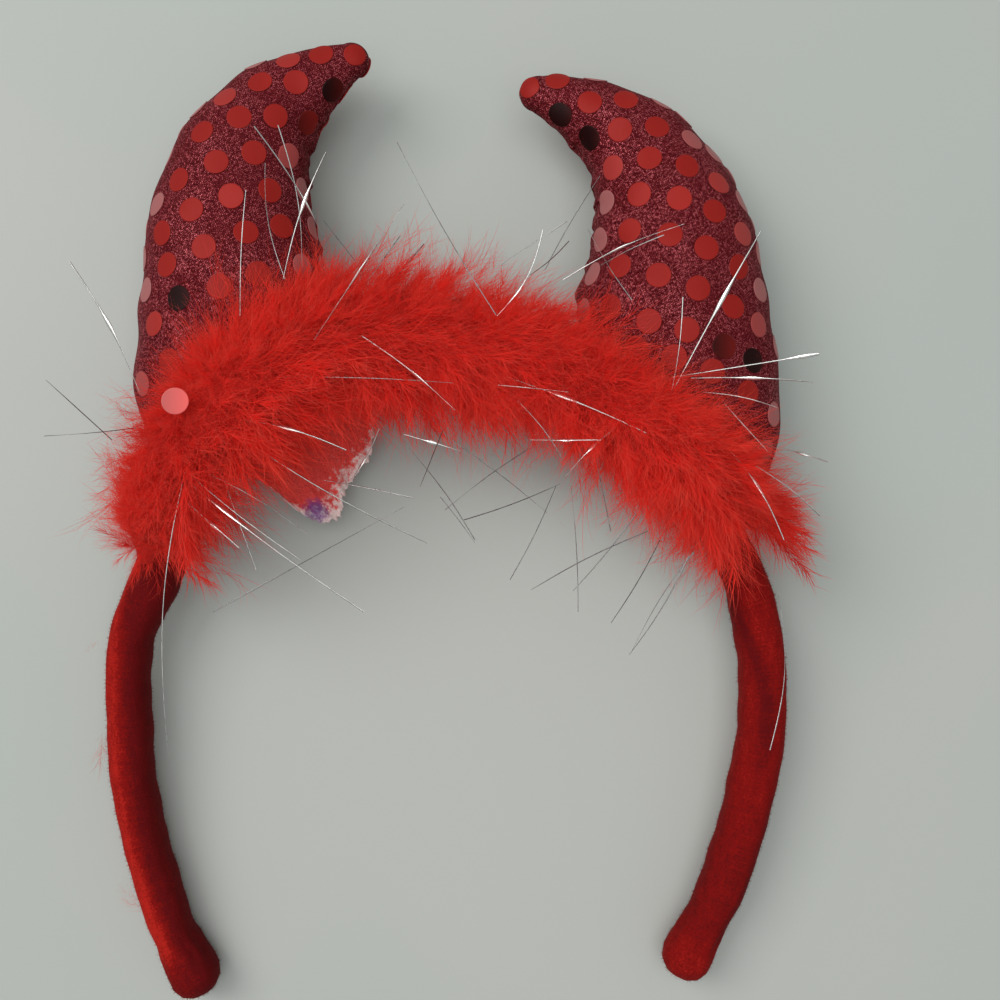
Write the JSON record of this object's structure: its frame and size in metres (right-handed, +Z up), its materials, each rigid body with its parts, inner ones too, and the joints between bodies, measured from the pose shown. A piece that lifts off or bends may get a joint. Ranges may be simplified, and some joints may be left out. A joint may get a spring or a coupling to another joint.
{
  "type": "devil horns headband",
  "caption": "Velvet-covered costume headband with stuffed glitter horns covered in round sequins and a marabou down trim, lying on its side.",
  "frame": {"origin": "middle of the part's box, on the surface that it lies on", "axes": "+Z up off the surface, +Y from the open ends of the band towards the horns' tips, +X towards the part's right horn as seen from above"},
  "size_m": [0.1466, 0.2004, 0.0493],
  "materials": {
    "velvet": "short pile velvet, matte with a soft sheen at grazing angles",
    "glitter_knit": "fine dark knit with metallic yarn",
    "down": "soft matte down",
    "hem_knit": "thin knit with a dried glue edge",
    "sequin_film": "glossy red film",
    "tinsel": "narrow mirror-bright film strands"
  },
  "bodies": {
    "root": {"velvet_band": "velvet", "horn_left": "glitter_knit", "horn_right": "glitter_knit", "feather_trim": "down", "hem_flap": "hem_knit"}
  },
  "joints": []
}
